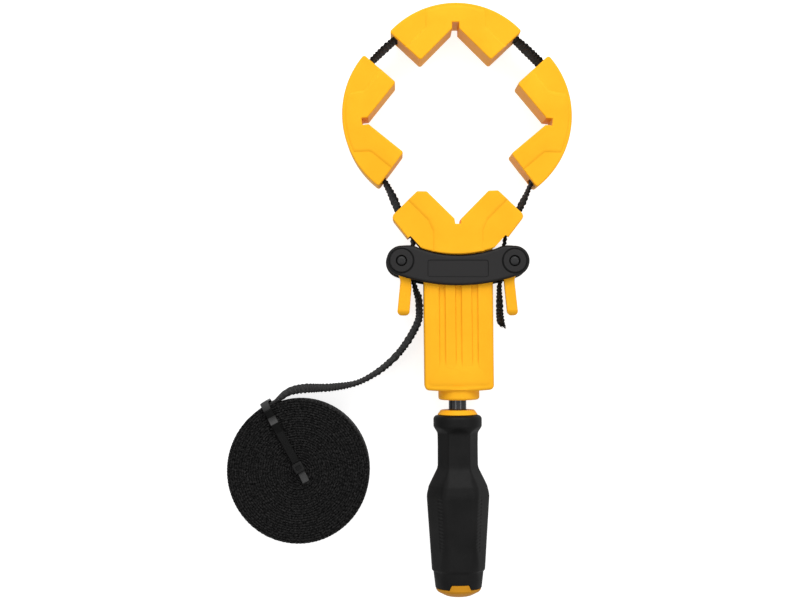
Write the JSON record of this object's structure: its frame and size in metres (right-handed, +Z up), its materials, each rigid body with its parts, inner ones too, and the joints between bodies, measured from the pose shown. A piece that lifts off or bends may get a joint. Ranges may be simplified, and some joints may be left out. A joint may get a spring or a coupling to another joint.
{
  "type": "ratchet band clamp",
  "caption": "Band clamp with V jaws strung on a nylon band, a sliding yoke pulled by a lead screw, cam levers that lock the band, a screwdriver grip and a coiled band tail.",
  "frame": {"origin": "on the bench under the middle of the clamp's length and width, as it lies on its back", "axes": "+Y from the handle's end to the top jaw, +X across to the right lever, +Z up out of the front face"},
  "size_m": [0.21, 0.3614, 0.037],
  "materials": {
    "yellow_plastic": "moulded yellow glass-filled nylon, fine satin grain",
    "black_plastic": "moulded charcoal black plastic, satin",
    "grip_rubber": "soft black overmoulded grip, matt",
    "webbing": "woven black nylon webbing",
    "tie_nylon": "black nylon cable tie, half gloss",
    "black_steel": "black oxide steel, polished",
    "zinc_screw": "zinc plated steel",
    "bronze": "machined bronze"
  },
  "bodies": {
    "clamp_body": {"body_front_shell": "yellow_plastic", "body_rear_shell": "yellow_plastic", "body_screw_lower_left": "zinc_screw", "body_screw_lower_right": "zinc_screw", "body_screw_upper_left": "zinc_screw", "body_screw_upper_right": "zinc_screw", "thrust_washer_upper": "zinc_screw", "thrust_washer_lower": "zinc_screw", "neck_bush": "bronze", "end_bush": "bronze", "band_loop": "webbing"},
    "handle": {"lead_screw": "black_steel", "handle_core": "yellow_plastic", "handle_grip": "grip_rubber", "handle_end_cap": "yellow_plastic"},
    "yoke": {"yoke_front_plate": "black_plastic", "yoke_rear_plate": "black_plastic", "nut_carriage": "black_steel", "travelling_nut": "bronze", "pivot_pin_left": "black_steel", "pivot_pin_right": "black_steel", "yoke_screw_left": "zinc_screw", "yoke_screw_right": "zinc_screw", "band_tail_right": "webbing", "band_tail_left": "webbing", "band_coil": "webbing", "tie_strap": "tie_nylon", "tie_head": "tie_nylon"},
    "left_lever": {"left_lever": "yellow_plastic"},
    "right_lever": {"right_lever": "yellow_plastic"},
    "top_jaw": {"top_jaw": "yellow_plastic"},
    "left_jaw": {"left_jaw": "yellow_plastic"},
    "right_jaw": {"right_jaw": "yellow_plastic"}
  },
  "joints": [
    {"name": "handle_turn", "type": "hinge", "parent": "clamp_body", "child": "handle", "pos_m": [0, -0.12, 0.0185], "axis": [0, 1, 0], "range_deg": [0, 2880]},
    {"name": "yoke_slide", "type": "slide", "parent": "clamp_body", "child": "yoke", "axis": [0, -1, 0], "range_m": [0, 0.024], "deforming": ["band_loop"]},
    {"name": "left_jaw_slide", "type": "slide", "parent": "clamp_body", "child": "left_jaw", "axis": [0.3861, -0.9224, 0], "range_m": [0, 0.01582]},
    {"name": "right_jaw_slide", "type": "slide", "parent": "clamp_body", "child": "right_jaw", "axis": [-0.3861, -0.9224, 0], "range_m": [0, 0.01582]},
    {"name": "top_jaw_slide", "type": "slide", "parent": "clamp_body", "child": "top_jaw", "axis": [0, -1, 0], "range_m": [0, 0.02003]},
    {"name": "left_lever_swing", "type": "hinge", "parent": "yoke", "child": "left_lever", "pos_m": [-0.0344, 0.0249, 0.0185], "axis": [0, 0, -1], "range_deg": [0, 100]},
    {"name": "right_lever_swing", "type": "hinge", "parent": "yoke", "child": "right_lever", "pos_m": [0.0344, 0.0249, 0.0185], "axis": [0, 0, 1], "range_deg": [0, 100]}
  ],
  "couplings": [
    {"joint": "handle_turn", "follows": "yoke_slide", "rad_per_m": 2094.4},
    {"joint": "left_jaw_slide", "follows": "yoke_slide", "ratio": 0.65918},
    {"joint": "right_jaw_slide", "follows": "yoke_slide", "ratio": 0.65918},
    {"joint": "top_jaw_slide", "follows": "yoke_slide", "ratio": 0.83471}
  ]
}
